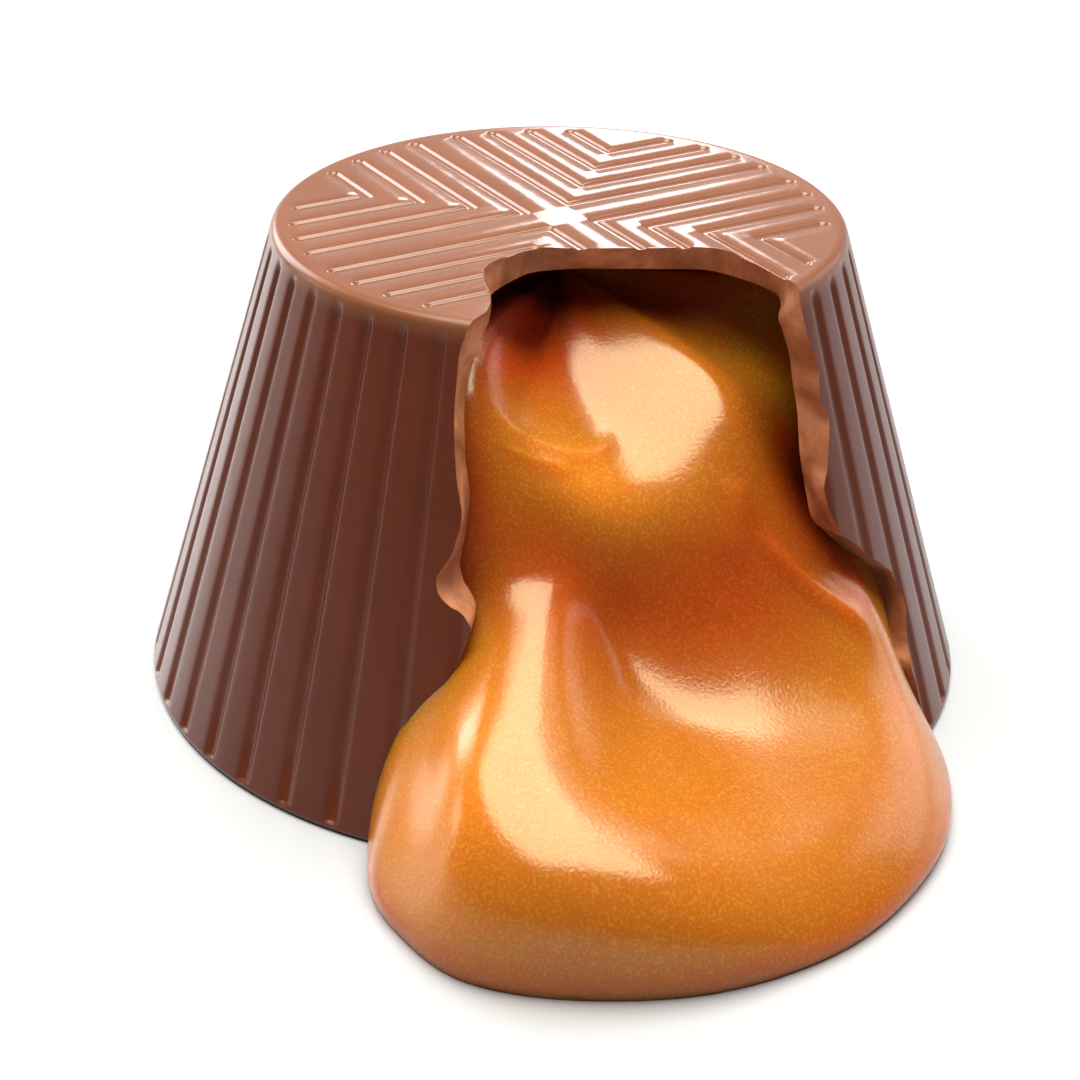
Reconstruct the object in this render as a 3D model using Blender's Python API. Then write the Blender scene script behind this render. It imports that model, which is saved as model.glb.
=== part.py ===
"""A moulded milk chocolate cup, broken open at the front, with its soft caramel flowing out of the break.

Two solids. The shell is a hollow fluted cone with an engraved roof and a closed sole. The caramel fills it,
sinks behind the break and runs out of it into a thick puddle. Lengths are in metres and angles in degrees;
an angle of 0 looks along -Y, towards the front, and grows towards +X. Z is up and the sole stands on Z = 0.
"""

import math

import bmesh
import bpy
from mathutils import Matrix, Vector, noise

MM = 0.001

# The cup
BASE_RADIUS = 14.0 * MM
TOP_RADIUS = 9.26 * MM
HEIGHT = 15.83 * MM
RIM_FILLET = 0.35 * MM
RIM_STEPS = 3
BASE_FILLET = 0.2 * MM
BASE_STEPS = 2
WALL = 1.2 * MM
ROOF = 0.9 * MM
SOLE = 0.9 * MM
CAVITY_FILLET = 0.5 * MM
CAVITY_STEPS = 3
CAVITY_SIDES = 72

# The flutes down its side, as the angles of the four edges of one flute from its middle
FLUTES = 46
FLUTE_MIDDLE = -44.9
FLUTE_EDGES = (-1.65, -0.6, 0.6, 1.65)
FLUTE_FLOOR = (False, True, True, False)
FLUTE_DEPTH = 0.13 * MM

# The nested right-angled grooves of the roof
GROOVE_TURN = 30.7
GROOVE_FIRST = 0.83 * MM
GROOVE_PITCH = 1.27 * MM
GROOVES = 4
GROOVE_REACH = 8.5 * MM
GROOVE_HALF_WIDTH = 0.36 * MM
GROOVE_FLOOR_HALF_WIDTH = 0.14 * MM
GROOVE_DEPTH = 0.16 * MM
GROOVE_CAP_STEPS = 3

# The break. On the side, a point of its edge is an angle, a share of the height and the angle by which the
# inner edge lags behind. On the roof it is X and Y in millimetres, first of the outer, then of the inner edge.
BREAK_LEFT = (
    (-18.0, 0.11, 0.0),
    (-17.2, 0.21, 0.0),
    (-14.6, 0.31, -0.6),
    (-13.0, 0.392, -0.5),
    (-11.9, 0.444, -0.8),
    (-14.0, 0.471, 0.4),
    (-16.9, 0.499, 1.6),
    (-17.6, 0.532, 1.6),
    (-15.7, 0.581, 0.1),
    (-14.7, 0.65, -0.6),
    (-16.2, 0.73, -0.8),
    (-17.3, 0.82, -0.7),
    (-17.5, 0.90, 0.3),
    (-17.4, 0.95, 1.6),
)
BREAK_ROOF = (
    (-2.57, -8.95, -2.30, -8.10),
    (-2.10, -8.00, -2.15, -7.30),
    (-2.02, -6.87, -2.06, -6.40),
    (-2.25, -5.50, -2.12, -5.40),
    (-2.23, -4.53, -2.05, -4.50),
    (-1.79, -3.76, -1.60, -3.65),
    (-0.84, -2.85, -0.83, -2.70),
    (0.40, -2.83, 0.53, -2.30),
    (1.93, -2.76, 2.10, -2.25),
    (3.10, -2.70, 3.20, -2.20),
    (4.26, -2.58, 4.55, -2.22),
    (5.22, -2.79, 5.20, -2.50),
    (6.10, -3.78, 5.95, -3.10),
    (6.71, -4.75, 6.67, -3.95),
    (7.20, -5.50, 6.95, -4.70),
)
BREAK_RIGHT = (
    (51.6, 0.965, 2.4),
    (52.0, 0.893, 2.6),
    (53.2, 0.836, 2.2),
    (51.9, 0.781, 2.6),
    (53.4, 0.733, 0.8),
    (50.4, 0.648, 2.0),
    (49.2, 0.598, 2.8),
    (50.6, 0.525, 1.4),
    (54.0, 0.483, 0.9),
    (57.8, 0.435, 1.2),
    (61.9, 0.389, 1.4),
    (64.7, 0.345, 1.4),
    (65.8, 0.284, 1.2),
    (64.3, 0.208, 1.2),
    (62.8, 0.165, 1.2),
    (63.4, 0.12, 0.6),
)
BREAK_FOOT = 0.65 * MM
BREAK_FOOT_RISE = 0.55 * MM
BREAK_FOOT_STEPS = 9
BREAK_SUBSTEPS = 2
BREAK_ROWS = 4
BREAK_OVERRUN = 1.0
BREAK_ROUGHNESS = 0.10 * MM
BREAK_GRAIN = 1.1 * MM
BREAK_HEART = Vector((2.0, -4.0, 8.0)) * MM
BREAK_OUTSIDE = Vector((12.0, -38.0, 30.0)) * MM

# The caramel: outlines from the middle of its top to the table, as radius and height in millimetres
IN_THE_CUP = (
    (0.0, 14.6), (4.0, 14.6), (7.4, 14.6), (9.0, 14.5), (9.5, 12.8), (9.9, 11.4), (10.4, 9.8),
    (10.9, 8.2), (11.4, 6.5), (11.9, 4.8), (12.5, 2.8), (13.0, 1.2), (13.2, 0.3),
)
LEFT_EDGE = (
    (0.0, 14.6), (4.0, 14.6), (7.2, 14.4), (8.8, 13.7), (9.5, 12.3), (10.0, 10.8), (10.6, 9.3),
    (11.2, 7.7), (11.8, 6.0), (12.5, 4.3), (13.7, 2.8), (15.8, 1.0), (15.8, 0.0),
)
LEFT_FLANK = (
    (0.0, 14.6), (3.4, 14.4), (6.6, 13.8), (8.6, 12.6), (9.5, 11.0), (10.1, 9.5), (10.9, 8.1),
    (11.8, 6.8), (12.7, 5.6), (13.9, 4.4), (15.7, 3.0), (18.0, 1.0), (17.9, 0.0),
)
LEFT_FOLD = (
    (0.0, 14.6), (2.4, 14.2), (5.2, 13.2), (7.4, 12.0), (8.6, 10.5), (9.4, 8.9), (10.6, 7.4),
    (12.0, 6.2), (13.7, 5.1), (15.4, 3.9), (17.4, 2.4), (19.1, 0.9), (18.9, 0.0),
)
MIDDLE_HOLLOW = (
    (0.0, 14.6), (2.2, 13.9), (4.6, 12.5), (6.4, 11.1), (8.0, 9.6), (9.0, 7.8), (9.7, 6.0),
    (11.0, 4.6), (13.0, 3.9), (15.6, 3.4), (18.2, 2.4), (20.2, 0.9), (20.0, 0.0),
)
RIGHT_SHOULDER = (
    (0.0, 14.6), (2.2, 14.0), (4.8, 12.7), (6.8, 11.1), (8.2, 9.4), (9.2, 7.8), (10.6, 6.3),
    (12.2, 5.1), (13.6, 4.1), (15.0, 3.2), (16.5, 2.1), (17.7, 0.9), (17.5, 0.0),
)
RIGHT_CREST = (
    (0.0, 14.6), (2.4, 14.2), (5.0, 13.0), (6.8, 11.6), (8.0, 10.1), (9.2, 8.6), (10.6, 7.2),
    (12.0, 5.9), (12.8, 4.8), (13.3, 3.8), (14.0, 2.5), (15.3, 0.9), (15.3, 0.0),
)
RIGHT_VALLEY = (
    (0.0, 14.6), (2.4, 14.3), (5.0, 13.4), (6.8, 12.0), (8.0, 10.4), (9.0, 8.9), (10.0, 7.4),
    (10.9, 6.1), (11.5, 4.9), (12.0, 3.8), (12.5, 2.6), (12.9, 1.1), (13.0, 0.3),
)
OUTLINES = (
    (-26.0, IN_THE_CUP),
    (-20.0, LEFT_EDGE),
    (-14.0, LEFT_FLANK),
    (-8.0, LEFT_FOLD),
    (18.0, MIDDLE_HOLLOW),
    (44.0, RIGHT_SHOULDER),
    (57.0, RIGHT_CREST),
    (65.0, RIGHT_VALLEY),
    (76.0, IN_THE_CUP),
)
FRONT_COLUMNS = 36
BACK_COLUMNS = 26
CARAMEL_SUBSTEPS = 2
CLEARANCE = 0.3 * MM
BREAK_CLEARANCE = 0.4 * MM

# Colours, linear red, green and blue
CHOCOLATE_COLOUR = (0.235, 0.085, 0.048, 1.0)
CARAMEL_COLOUR = (0.56, 0.19, 0.022, 1.0)


def clear_scene():
    for obj in list(bpy.data.objects):
        bpy.data.objects.remove(obj, do_unlink=True)


def new_collection(name):
    collection = bpy.data.collections.new(name)
    bpy.context.scene.collection.children.link(collection)
    return collection


def new_material(name, colour, roughness):
    material = bpy.data.materials.new(name)
    material.use_nodes = True
    shader = material.node_tree.nodes["Principled BSDF"]
    shader.inputs["Base Color"].default_value = colour
    shader.inputs["Roughness"].default_value = roughness
    shader.inputs["Metallic"].default_value = 0.0
    return material


def new_object(name, work, collection):
    """The object of a finished bmesh, with its faces turned outwards."""
    bmesh.ops.remove_doubles(work, verts=work.verts, dist=0.0001 * MM)
    bmesh.ops.recalc_face_normals(work, faces=work.faces)
    mesh = bpy.data.meshes.new(name)
    work.to_mesh(mesh)
    work.free()
    obj = bpy.data.objects.new(name, mesh)
    collection.objects.link(obj)
    return obj


def make_cutter(obj):
    obj.hide_render = True
    obj.display_type = "WIRE"
    return obj


def cut(obj, cutter, name):
    """Takes the cutter away. The exact solver drops a cut after another here, so the manifold one does it."""
    modifier = obj.modifiers.new(name, "BOOLEAN")
    modifier.operation = "DIFFERENCE"
    modifier.solver = "MANIFOLD"
    modifier.object = cutter


def around(angle, radius, height):
    """The point at an angle from the front, a radius and a height."""
    turn = math.radians(angle)
    return Vector((radius * math.sin(turn), -radius * math.cos(turn), height))


def outer_radius(height):
    return BASE_RADIUS + (TOP_RADIUS - BASE_RADIUS) * height / HEIGHT


def inner_radius(height):
    slope = math.hypot(HEIGHT, BASE_RADIUS - TOP_RADIUS) / HEIGHT
    return outer_radius(height) - WALL * slope


def arc(centre, radius, start, end, steps):
    """Points of an arc in the radius and height plane, from one angle above the horizontal to another."""
    points = []
    for step in range(steps + 1):
        turn = math.radians(start + (end - start) * step / steps)
        points.append((centre[0] + radius * math.cos(turn), centre[1] + radius * math.sin(turn)))
    return points


def wall_lean():
    """How far the wall's outward normal is tilted up, in degrees."""
    return math.degrees(math.atan2(BASE_RADIUS - TOP_RADIUS, HEIGHT))


def upper_setback(fillet, lean):
    """How far the middle of a fillet under a level face lies inside the corner of a leaning wall."""
    return fillet * (1.0 - math.sin(math.radians(lean))) / math.cos(math.radians(lean))


def lower_setback(fillet, lean):
    """The same for a fillet above a level face."""
    return fillet * (1.0 + math.sin(math.radians(lean))) / math.cos(math.radians(lean))


def turned(profile, sides):
    """A profile of radius and height from one end of the axis to the other, spun into a closed solid."""
    work = bmesh.new()
    verts = [work.verts.new((radius, 0.0, height)) for radius, height in profile]
    edges = [work.edges.new(pair) for pair in zip(verts, verts[1:])]
    bmesh.ops.spin(
        work,
        geom=verts + edges,
        axis=(0.0, 0.0, 1.0),
        cent=(0.0, 0.0, 0.0),
        angle=math.tau,
        steps=sides,
        use_merge=True,
    )
    bmesh.ops.remove_doubles(work, verts=work.verts, dist=0.0001 * MM)
    return work


def rim():
    """The rounding between the side and the roof."""
    lean = wall_lean()
    centre = (outer_radius(HEIGHT) - upper_setback(RIM_FILLET, lean), HEIGHT - RIM_FILLET)
    return arc(centre, RIM_FILLET, lean, 90.0, RIM_STEPS)


def cup_profile():
    """The outside of the cup: sole, foot, side, rim and roof."""
    lean = wall_lean()
    centre = (BASE_RADIUS - lower_setback(BASE_FILLET, lean), BASE_FILLET)
    foot = arc(centre, BASE_FILLET, -90.0, lean, BASE_STEPS)
    return [(0.0, 0.0)] + foot + rim() + [(0.0, HEIGHT)]


def cavity_profile(shrink):
    """The hollow of the cup, with its corners rounded, made smaller all round by a clearance."""
    lean = wall_lean()
    top = HEIGHT - ROOF - shrink
    bottom = SOLE + shrink
    side_shrink = shrink / math.cos(math.radians(lean))
    upper_centre = inner_radius(top) - side_shrink - upper_setback(CAVITY_FILLET, lean)
    lower_centre = inner_radius(bottom) - side_shrink - lower_setback(CAVITY_FILLET, lean)
    lower = arc((lower_centre, bottom + CAVITY_FILLET), CAVITY_FILLET, -90.0, lean, CAVITY_STEPS)
    upper = arc((upper_centre, top - CAVITY_FILLET), CAVITY_FILLET, lean, 90.0, CAVITY_STEPS)
    return [(0.0, bottom)] + lower + upper + [(0.0, top)]


def flute_the_side(work):
    """Moves each column of the turned cup to an edge of a flute, and sinks the flutes' floors."""
    side_top = rim()[0][1]
    pitch = 360.0 / FLUTES
    columns = FLUTES * len(FLUTE_EDGES)
    for vert in work.verts:
        radius = math.hypot(vert.co.x, vert.co.y)
        if radius < 0.01 * MM:
            continue
        turn = math.degrees(math.atan2(vert.co.y, vert.co.x)) % 360.0
        column = round(turn * columns / 360.0) % columns
        flute, edge = divmod(column, len(FLUTE_EDGES))
        if FLUTE_FLOOR[edge] and vert.co.z < side_top + 0.01 * MM:
            radius -= FLUTE_DEPTH * radius / BASE_RADIUS
        vert.co = around(FLUTE_MIDDLE + flute * pitch + FLUTE_EDGES[edge], radius, vert.co.z)


def groove_outline(number, half_width):
    """The plan of one right-angled groove with round ends: X and Y before it is turned to its quarter."""
    middle = GROOVE_FIRST + number * GROOVE_PITCH
    end = math.sqrt(GROOVE_REACH**2 - middle**2)
    points = [Vector((middle - half_width, middle - half_width, 0.0))]
    for step in range(GROOVE_CAP_STEPS + 1):
        turn = math.pi * (1.0 - step / GROOVE_CAP_STEPS)
        along = end + half_width * math.sin(turn)
        points.append(Vector((middle + half_width * math.cos(turn), along, 0.0)))
    points.append(Vector((middle + half_width, middle + half_width, 0.0)))
    mirrored = [Vector((point.y, point.x, 0.0)) for point in reversed(points[1:-1])]
    return points + mirrored


def grooves(collection):
    """The sixteen grooves of the roof, as one cutter of separate closed bars with sloping sides."""
    work = bmesh.new()
    slope = (GROOVE_HALF_WIDTH - GROOVE_FLOOR_HALF_WIDTH) / GROOVE_DEPTH
    top_half_width = GROOVE_HALF_WIDTH + slope * GROOVE_DEPTH
    levels = ((HEIGHT + GROOVE_DEPTH, top_half_width), (HEIGHT - GROOVE_DEPTH, GROOVE_FLOOR_HALF_WIDTH))
    for quarter in range(4):
        turn = Matrix.Rotation(math.radians(GROOVE_TURN + 90.0 * quarter), 4, "Z")
        for number in range(GROOVES):
            rings = []
            for height, half_width in levels:
                outline = groove_outline(number, half_width)
                verts = [work.verts.new(turn @ point + Vector((0.0, 0.0, height))) for point in outline]
                edges = [work.edges.new(pair) for pair in zip(verts, verts[1:] + verts[:1])]
                work.faces.new(verts)
                rings += edges
            bmesh.ops.bridge_loops(work, edges=rings)
    bmesh.ops.triangulate(work, faces=work.faces)
    return make_cutter(new_object("roof_grooves_cutter", work, collection))


def catmull(before, start, end, after, share):
    """A point of the smooth curve from start to end, given their neighbours."""
    square = share * share
    cube = square * share
    return 0.5 * (
        2.0 * start
        + (end - before) * share
        + (2.0 * before - 5.0 * start + 4.0 * end - after) * square
        + (3.0 * start - before - 3.0 * end + after) * cube
    )


def wall_pair(angle, share, lag):
    """An outer and an inner point of the break in the wall, the inner one below the hollow's upper corner."""
    height = share * HEIGHT
    inner_height = min(height, HEIGHT - ROOF - CAVITY_FILLET)
    outer = around(angle, outer_radius(height), height)
    return outer, around(angle + lag, inner_radius(inner_height), inner_height)


def break_pairs():
    """The outer and inner points of the break's edge, once round it from the left foot."""
    pairs = [wall_pair(*place) for place in BREAK_LEFT]
    for x, y, inner_x, inner_y in BREAK_ROOF:
        outer = Vector((x * MM, y * MM, HEIGHT))
        pairs.append((outer, Vector((inner_x * MM, inner_y * MM, HEIGHT - ROOF))))
    pairs += [wall_pair(*place) for place in BREAK_RIGHT]
    first, last = BREAK_LEFT[0][0], BREAK_RIGHT[-1][0]
    for step in range(BREAK_FOOT_STEPS + 1):
        angle = last + (first - last) * step / BREAK_FOOT_STEPS
        low = around(angle, outer_radius(BREAK_FOOT), BREAK_FOOT)
        high = BREAK_FOOT + BREAK_FOOT_RISE
        pairs.append((low, around(angle, inner_radius(high), high)))
    return pairs


def break_cutter(name, inset, roughness, collection):
    """What the shell lacks: a ring of ragged faces through the wall, closed by a fan on either side."""
    pairs = break_pairs()
    count = len(pairs)
    shares = [row / (BREAK_ROWS - 1) for row in range(BREAK_ROWS)]
    shares = [-BREAK_OVERRUN] + shares + [1.0 + BREAK_OVERRUN]
    work = bmesh.new()
    rows = [[] for _ in shares]
    for index in range(count):
        four = [pairs[(index + offset) % count] for offset in (-1, 0, 1, 2)]
        for substep in range(BREAK_SUBSTEPS):
            share = substep / BREAK_SUBSTEPS
            outer = catmull(*(pair[0] for pair in four), share)
            inner = catmull(*(pair[1] for pair in four), share)
            inwards = (BREAK_HEART - inner).normalized() * inset
            middle = (outer + inner) / 2.0
            sideways = (BREAK_HEART - middle).cross(outer - inner).cross(outer - inner).normalized()
            for row, depth in zip(rows, shares):
                point = inner.lerp(outer, depth) + inwards
                if 0.0 < depth < 1.0:
                    point += sideways * roughness * noise.noise(point / BREAK_GRAIN)
                row.append(work.verts.new(point))
    for row in rows:
        for pair in zip(row, row[1:] + row[:1]):
            work.edges.new(pair)
    for low, high in zip(rows, rows[1:]):
        edges = [edge for edge in work.edges if edge.verts[0] in low and edge.verts[1] in low]
        edges += [edge for edge in work.edges if edge.verts[0] in high and edge.verts[1] in high]
        bmesh.ops.bridge_loops(work, edges=edges)
    for row, apex in ((rows[0], BREAK_HEART), (rows[-1], BREAK_OUTSIDE)):
        tip = work.verts.new(apex)
        for pair in zip(row, row[1:] + row[:1]):
            work.faces.new((*pair, tip))
    bmesh.ops.triangulate(work, faces=work.faces)
    return make_cutter(new_object(name, work, collection))


def make_shell(parts, cutters):
    work = turned(cup_profile(), FLUTES * len(FLUTE_EDGES))
    flute_the_side(work)
    shell = new_object("chocolate_shell", work, parts)
    cut(shell, grooves(cutters), "Grooves")
    cut(shell, break_cutter("break_cutter", 0.0, BREAK_ROUGHNESS, cutters), "Break")
    cavity = new_object("cavity_cutter", turned(cavity_profile(0.0), CAVITY_SIDES), cutters)
    cut(shell, make_cutter(cavity), "Hollow")
    shell.data.materials.append(new_material("milk_chocolate", CHOCOLATE_COLOUR, 0.35))
    return shell


def outline_point(outline, place):
    """A point of one outline, where place counts its stations, on a smooth curve through them."""
    last = len(outline) - 1
    index = min(int(place), last - 1)
    stations = [Vector(outline[min(max(index + offset, 0), last)]) for offset in (-1, 0, 1, 2)]
    return catmull(*stations, place - index)


def caramel_point(angle, place):
    """Radius and height of the caramel's surface in millimetres, on a smooth curve between the outlines."""
    if not OUTLINES[0][0] < angle < OUTLINES[-1][0]:
        return outline_point(IN_THE_CUP, place)
    index = max(number for number, (at, _) in enumerate(OUTLINES) if at <= angle)
    start, end = OUTLINES[index][0], OUTLINES[index + 1][0]
    last = len(OUTLINES) - 1
    near = [min(max(index + offset, 0), last) for offset in (-1, 0, 1, 2)]
    four = [outline_point(OUTLINES[number][1], place) for number in near]
    return catmull(*four, (angle - start) / (end - start))


def column_angle(column):
    """Columns stand close together over the flow and further apart inside the cup."""
    left, right = OUTLINES[0][0], OUTLINES[-1][0]
    if column <= FRONT_COLUMNS:
        return left + (right - left) * column / FRONT_COLUMNS
    return right + (360.0 - right + left) * (column - FRONT_COLUMNS) / BACK_COLUMNS


def caramel_body():
    """A turned template whose rings are then laid along the outlines."""
    stations = (len(IN_THE_CUP) - 1) * CARAMEL_SUBSTEPS
    columns = FRONT_COLUMNS + BACK_COLUMNS
    profile = [(float(ring), float(-ring)) for ring in range(stations + 1)]
    work = turned(profile + [(0.0, -stations - 1.0)], columns)
    for vert in work.verts:
        ring = round(-vert.co.z)
        if ring > stations:
            vert.co = Vector((0.0, 0.0, 0.0))
            continue
        turn = math.degrees(math.atan2(vert.co.y, vert.co.x)) % 360.0
        angle = column_angle(round(turn * columns / 360.0) % columns)
        radius, height = caramel_point(angle, ring / CARAMEL_SUBSTEPS)
        vert.co = around(angle, radius * MM, max(height, 0.0) * MM)
    return work


def shell_room(cutters):
    """The space the shell takes, with a clearance round it: what is cut away from the caramel."""
    top = HEIGHT + CLEARANCE
    outside = [
        (0.0, -CLEARANCE),
        (outer_radius(-CLEARANCE) + CLEARANCE, -CLEARANCE),
        (outer_radius(top) + CLEARANCE, top),
        (0.0, top),
    ]
    room = make_cutter(new_object("shell_room_cutter", turned(outside, CAVITY_SIDES), cutters))
    cut(room, break_cutter("break_room_cutter", BREAK_CLEARANCE, 0.0, cutters), "Break")
    hollow = new_object("cavity_room_cutter", turned(cavity_profile(CLEARANCE), CAVITY_SIDES), cutters)
    cut(room, make_cutter(hollow), "Hollow")
    return room


def make_caramel(parts, cutters):
    caramel = new_object("caramel_filling", caramel_body(), parts)
    cut(caramel, shell_room(cutters), "Shell")
    caramel.data.materials.append(new_material("soft_caramel", CARAMEL_COLOUR, 0.25))
    return caramel


def main():
    clear_scene()
    parts = new_collection("caramel_chocolate")
    cutters = new_collection("cutters")
    for obj in (make_shell(parts, cutters), make_caramel(parts, cutters)):
        obj.data.shade_smooth()
        obj.data.set_sharp_from_angle(angle=math.radians(35.0))


main()
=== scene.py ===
"""The looks of a broken milk chocolate cup with caramel flowing out of it.

The fine chocolate shell and the fine caramel stand for the two solids of the frame. Lengths are in metres
unless a name or a comment says millimetres. An angle of 0 looks along -Y, towards the front, and grows
towards +X. Z is up.
"""

import math

import bmesh
import bpy
from mathutils import Matrix, Vector, kdtree, noise


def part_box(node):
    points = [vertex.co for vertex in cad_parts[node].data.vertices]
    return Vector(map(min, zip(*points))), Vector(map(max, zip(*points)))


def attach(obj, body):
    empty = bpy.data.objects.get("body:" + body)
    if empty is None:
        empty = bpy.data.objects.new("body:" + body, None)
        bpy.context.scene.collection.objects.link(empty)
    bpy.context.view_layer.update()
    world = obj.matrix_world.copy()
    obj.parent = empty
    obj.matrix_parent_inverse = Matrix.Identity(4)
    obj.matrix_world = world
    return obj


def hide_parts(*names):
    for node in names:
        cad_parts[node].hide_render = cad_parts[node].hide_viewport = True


MM = 0.001

# The cup, as in its solid
BASE_RADIUS = 14.0 * MM
TOP_RADIUS = 9.26 * MM
WALL = 1.2 * MM
ROOF = 0.9 * MM
SOLE = 0.9 * MM
RIM_FILLET = 0.35 * MM
RIM_STEPS = 6
BASE_FILLET = 0.2 * MM
BASE_STEPS = 3
CAVITY_FILLET = 0.5 * MM
CAVITY_STEPS = 4
CAVITY_SIDES = 180

# Its flutes. The middle of one, the half widths at edge and floor and the mesh's columns are in degrees.
FLUTES = 46
FLUTE_MIDDLE = -44.9
FLUTE_EDGE = 1.65
FLUTE_FLOOR = 0.10
FLUTE_DEPTH = 0.14 * MM
FLUTE_COLUMNS = (-1.65, -1.4, -1.15, -0.9, -0.6, -0.3, 0.0, 0.3, 0.6, 0.9, 1.15, 1.4, 1.65, 2.6, 3.9, 5.2)
FLUTE_RUN_OUT = 0.55 * MM
FLUTE_RUN_IN = 0.10 * MM
WALL_ROWS = 8
RUN_OUT_ROWS = 6
RUN_IN_ROWS = 3

# The grooves of its roof: nested right angles in four corners, turned by some degrees
GROOVE_TURN = 30.7
GROOVE_FIRST = 0.83 * MM
GROOVE_PITCH = 1.27 * MM
GROOVES = 4
GROOVE_REACH = 8.5 * MM
GROOVE_HALF_WIDTH = 0.21 * MM
GROOVE_FLOOR = 0.09 * MM
GROOVE_DEPTH = 0.075 * MM
GROOVE_STEPS = 5
GROOVE_END_MARGIN = 0.3 * MM
GROOVE_END_STEPS = 3.0
CORNER_POWER = 4.0

# The roof's grid ends at a polygon of so many sides
ROOF_TRIMS = 92
ROOF_TRIM_RADIUS = 8.93 * MM
ROOF_GRID_MARGIN = 1.01

# How near two points are one, in metres, and in the steps of the caramel's template
TRIM_TOLERANCE = 1e-9
MERGE_DISTANCE = 1e-7
TEMPLATE_MERGE_DISTANCE = 1e-6


def ease(share):
    """A smooth step from 0 to 1."""
    share = min(max(share, 0.0), 1.0)
    return share * share * (3.0 - 2.0 * share)


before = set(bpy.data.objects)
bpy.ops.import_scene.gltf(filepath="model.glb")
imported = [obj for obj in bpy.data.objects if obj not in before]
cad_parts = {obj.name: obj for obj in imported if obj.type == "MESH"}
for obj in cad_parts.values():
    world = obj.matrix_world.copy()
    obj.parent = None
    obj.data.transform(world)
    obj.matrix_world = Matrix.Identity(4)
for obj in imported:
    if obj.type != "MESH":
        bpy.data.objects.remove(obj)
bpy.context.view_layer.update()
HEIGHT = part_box("chocolate_shell")[1].z
WALL_LEAN = math.degrees(math.atan2(BASE_RADIUS - TOP_RADIUS, HEIGHT))


def around(angle, radius, height):
    """The point at an angle from the front, a radius and a height."""
    turn = math.radians(angle)
    return Vector((radius * math.sin(turn), -radius * math.cos(turn), height))


def angle_of(point):
    return math.degrees(math.atan2(point.x, -point.y))


def outer_radius(height):
    return BASE_RADIUS + (TOP_RADIUS - BASE_RADIUS) * height / HEIGHT


def inner_radius(height):
    slope = math.hypot(HEIGHT, BASE_RADIUS - TOP_RADIUS) / HEIGHT
    return outer_radius(height) - WALL * slope


def arc(centre, radius, start, end, steps):
    """Points of an arc in the radius and height plane, from one angle above the horizontal to another."""
    points = []
    for step in range(steps + 1):
        turn = math.radians(start + (end - start) * step / steps)
        points.append((centre[0] + radius * math.cos(turn), centre[1] + radius * math.sin(turn)))
    return points


def setback(fillet, side):
    """How far a fillet's middle lies inside the corner of the leaning wall: side is -1 above, 1 below."""
    lean = math.radians(WALL_LEAN)
    return fillet * (1.0 + side * math.sin(lean)) / math.cos(lean)


def rim():
    """The rounding between the roof and the side, from the roof down."""
    centre = (outer_radius(HEIGHT) - setback(RIM_FILLET, -1), HEIGHT - RIM_FILLET)
    return arc(centre, RIM_FILLET, 90.0, WALL_LEAN, RIM_STEPS)


def foot():
    """The rounding between the side and the sole, from the side down."""
    centre = (BASE_RADIUS - setback(BASE_FILLET, 1), BASE_FILLET)
    return arc(centre, BASE_FILLET, WALL_LEAN, -90.0, BASE_STEPS)


def flute_depth(angle, height):
    """How deep the flutes lie in the side at an angle and a height."""
    pitch = 360.0 / FLUTES
    off = abs((angle - FLUTE_MIDDLE + pitch / 2.0) % pitch - pitch / 2.0)
    across = ease((FLUTE_EDGE - off) / (FLUTE_EDGE - FLUTE_FLOOR))
    up = ease((rim()[-1][1] - height) / FLUTE_RUN_OUT)
    down = ease((height - foot()[0][1]) / FLUTE_RUN_IN)
    return FLUTE_DEPTH * across * up * down


def groove_depth(u, v):
    """How deep the nested right-angled grooves lie in the roof, in the grooves' own directions."""
    near, far = sorted((abs(u), abs(v)))
    depth = 0.0
    for number in range(GROOVES):
        middle = GROOVE_FIRST + number * GROOVE_PITCH
        end = math.sqrt(GROOVE_REACH**2 - middle**2)
        if far < middle:
            off = ((middle - near) ** CORNER_POWER + (middle - far) ** CORNER_POWER) ** (1.0 / CORNER_POWER)
        else:
            off = math.hypot(near - middle, max(far - end, 0.0))
        depth = max(depth, ease((GROOVE_HALF_WIDTH - off) / (GROOVE_HALF_WIDTH - GROOVE_FLOOR)))
    return GROOVE_DEPTH * depth


def roof_lines():
    """Where the lines of the roof's grid run: closely over the grooves' sides and over their ends."""
    lines = {0.0}
    for number in range(GROOVES):
        middle = GROOVE_FIRST + number * GROOVE_PITCH
        lines.add(middle)
        lines.add(middle + GROOVE_PITCH / 2.0)
        for step in range(GROOVE_STEPS):
            off = GROOVE_FLOOR + (GROOVE_HALF_WIDTH - GROOVE_FLOOR) * step / (GROOVE_STEPS - 1)
            lines |= {middle - off, middle + off}
    first_end = math.sqrt(GROOVE_REACH**2 - (GROOVE_FIRST + (GROOVES - 1) * GROOVE_PITCH) ** 2)
    line = (first_end + max(lines)) / 2.0
    while line < ROOF_TRIM_RADIUS:
        lines.add(line)
        near_an_end = line > first_end - GROOVE_END_MARGIN
        line += GROOVE_HALF_WIDTH / GROOVE_END_STEPS if near_an_end else GROOVE_HALF_WIDTH
    lines.add(ROOF_TRIM_RADIUS * ROOF_GRID_MARGIN)
    return sorted(lines | {-line for line in lines})


def verts_of(edges):
    return {vert for edge in edges for vert in edge.verts}


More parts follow.
